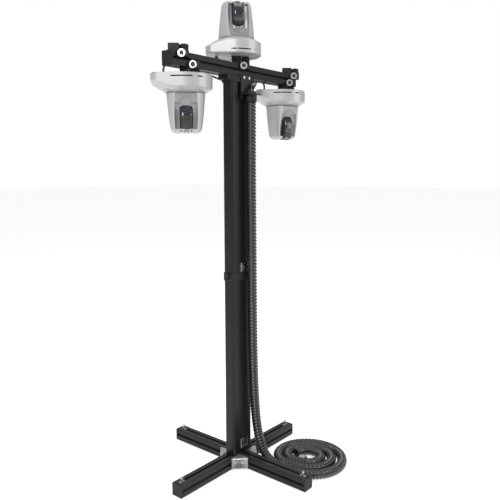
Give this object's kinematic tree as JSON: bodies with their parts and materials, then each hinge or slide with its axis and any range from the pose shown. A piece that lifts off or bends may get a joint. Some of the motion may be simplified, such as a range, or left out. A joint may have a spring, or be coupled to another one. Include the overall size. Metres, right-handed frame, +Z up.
{
  "type": "multi-camera slotted-profile stand",
  "caption": "Free-standing black slotted-profile stand: cross base, column and crossbar carrying pan-tilt cameras and a corrugated cable hose.",
  "frame": {"origin": "on the floor, under the column's axis", "axes": "+X along the crossbar towards the side the hose coil lies on, +Z up, the near leg and the hose towards -Y"},
  "size_m": [0.6363, 0.596, 1.4894],
  "materials": {
    "anodised_profile": "satin black anodised extrusion",
    "column_paint": "satin black powder coat",
    "black_metal": "matt black coated metal",
    "splice_steel": "plain steel bar, hidden in the column",
    "cap_plastic": "matt black moulding",
    "bracket_casting": "die-cast aluminium",
    "zinc_steel": "zinc plated steel",
    "black_screw": "black oxide steel",
    "foot_steel": "zinc plated stud and pad",
    "knob_plastic": "matt black moulding",
    "bright_plate": "bright plated steel",
    "hanger_paint": "matt black sheet",
    "gland_plastic": "matt black moulding",
    "hose_plastic": "corrugated black polyamide",
    "cuff_plastic": "grey moulding",
    "plug_plastic": "black moulding",
    "cable_sheath": "black PVC sheath",
    "spindle_metal": "turned aluminium",
    "camera_shell": "light silver-grey moulding",
    "camera_plate": "grey plate",
    "camera_bezel": "mid grey moulding",
    "drum_plastic": "dark grey moulding",
    "lens_window": "smoked window over the lens"
  },
  "bodies": {
    "stand": {"base_beam": "anodised_profile", "near_leg": "anodised_profile", "far_leg": "anodised_profile", "crossbar": "anodised_profile", "column_lower": "column_paint", "column_upper": "column_paint", "joint_collar": "black_metal", "head_collar": "black_metal", "clamp_bodies": "black_metal", "column_splice": "splice_steel", "leg_end_caps": "cap_plastic", "crossbar_end_caps": "cap_plastic", "corner_brackets": "bracket_casting", "bracket_screws": "zinc_steel", "slot_nuts": "zinc_steel", "foot_inserts": "zinc_steel", "anchor_bolts": "black_screw", "joint_screws": "black_screw", "cable_plate_bolts": "black_screw", "camera_mount_screws": "black_screw", "cable_plates": "bright_plate", "clamp_washers": "bright_plate", "clamp_screws": "black_screw", "hanger_screws": "bright_plate", "hose_hanger": "hanger_paint", "hose_gland": "gland_plastic", "hose": "hose_plastic", "hose_coil": "hose_plastic", "hose_end_cuff": "cuff_plastic", "hose_end_plug": "plug_plastic", "camera_cables": "cable_sheath", "camera_connectors": "plug_plastic", "pan_spindles": "spindle_metal", "left_base_cover": "camera_shell", "left_base_plate": "camera_plate", "right_base_cover": "camera_shell", "right_base_plate": "camera_plate", "top_base_cover": "camera_shell", "top_base_plate": "camera_plate"},
    "foot_1": {"levelling_foot_1": "foot_steel"},
    "foot_2": {"levelling_foot_2": "foot_steel"},
    "foot_3": {"levelling_foot_3": "foot_steel"},
    "foot_4": {"levelling_foot_4": "foot_steel"},
    "knob_1": {"clamp_knob_1": "knob_plastic"},
    "knob_2": {"clamp_knob_2": "knob_plastic"},
    "knob_3": {"clamp_knob_3": "knob_plastic"},
    "knob_4": {"clamp_knob_4": "knob_plastic"},
    "knob_5": {"clamp_knob_5": "knob_plastic"},
    "left_head": {"left_head_shell": "camera_shell", "left_head_frame": "camera_bezel"},
    "left_drum": {"left_tilt_drum": "drum_plastic", "left_lens": "lens_window"},
    "right_head": {"right_head_shell": "camera_shell", "right_head_frame": "camera_bezel"},
    "right_drum": {"right_tilt_drum": "drum_plastic", "right_lens": "lens_window"},
    "top_head": {"top_head_shell": "camera_shell", "top_head_frame": "camera_bezel"},
    "top_drum": {"top_tilt_drum": "drum_plastic", "top_lens": "lens_window"}
  },
  "joints": [
    {"name": "foot_1_level", "type": "slide", "parent": "stand", "child": "foot_1", "axis": [0, 0, -1], "range_m": [0, 0.015]},
    {"name": "foot_2_level", "type": "slide", "parent": "stand", "child": "foot_2", "axis": [0, 0, -1], "range_m": [0, 0.015]},
    {"name": "foot_3_level", "type": "slide", "parent": "stand", "child": "foot_3", "axis": [0, 0, -1], "range_m": [0, 0.015]},
    {"name": "foot_4_level", "type": "slide", "parent": "stand", "child": "foot_4", "axis": [0, 0, -1], "range_m": [0, 0.015]},
    {"name": "knob_1_turn", "type": "hinge", "parent": "stand", "child": "knob_1", "pos_m": [-0.24359, -0.0211, 1.3054], "axis": [0, 0, 1], "continuous": true},
    {"name": "knob_2_turn", "type": "hinge", "parent": "stand", "child": "knob_2", "pos_m": [0.01841, -0.0211, 1.3054], "axis": [0, 0, 1], "continuous": true},
    {"name": "knob_3_turn", "type": "hinge", "parent": "stand", "child": "knob_3", "pos_m": [0.28041, -0.0211, 1.3054], "axis": [0, 0, 1], "continuous": true},
    {"name": "knob_4_turn", "type": "hinge", "parent": "stand", "child": "knob_4", "pos_m": [-0.20059, -0.0211, 1.2654], "axis": [0, 0, -1], "continuous": true},
    {"name": "knob_5_turn", "type": "hinge", "parent": "stand", "child": "knob_5", "pos_m": [0.25641, -0.0211, 1.2654], "axis": [0, 0, -1], "continuous": true},
    {"name": "left_pan", "type": "hinge", "parent": "stand", "child": "left_head", "pos_m": [-0.219, 0, 1.2454], "axis": [0, 0, 1], "range_deg": [-89.8, 260.2]},
    {"name": "left_tilt", "type": "hinge", "parent": "left_head", "child": "left_drum", "pos_m": [-0.219, 0, 1.1264], "axis": [0.7181, -0.6959, 0], "range_deg": [-7, 123]},
    {"name": "right_pan", "type": "hinge", "parent": "stand", "child": "right_head", "pos_m": [0.238, 0, 1.2454], "axis": [0, 0, 1], "range_deg": [-117.9, 232.1]},
    {"name": "right_tilt", "type": "hinge", "parent": "right_head", "child": "right_drum", "pos_m": [0.238, 0, 1.1264], "axis": [0.9613, -0.2756, 0], "range_deg": [-40, 90]},
    {"name": "top_pan", "type": "hinge", "parent": "stand", "child": "top_head", "pos_m": [0, 0, 1.3274], "axis": [0, 0, 1], "range_deg": [-98, 252]},
    {"name": "top_tilt", "type": "hinge", "parent": "top_head", "child": "top_drum", "pos_m": [0, 0, 1.4464], "axis": [-0.81, 0.5864, 0], "range_deg": [-40, 90]}
  ]
}
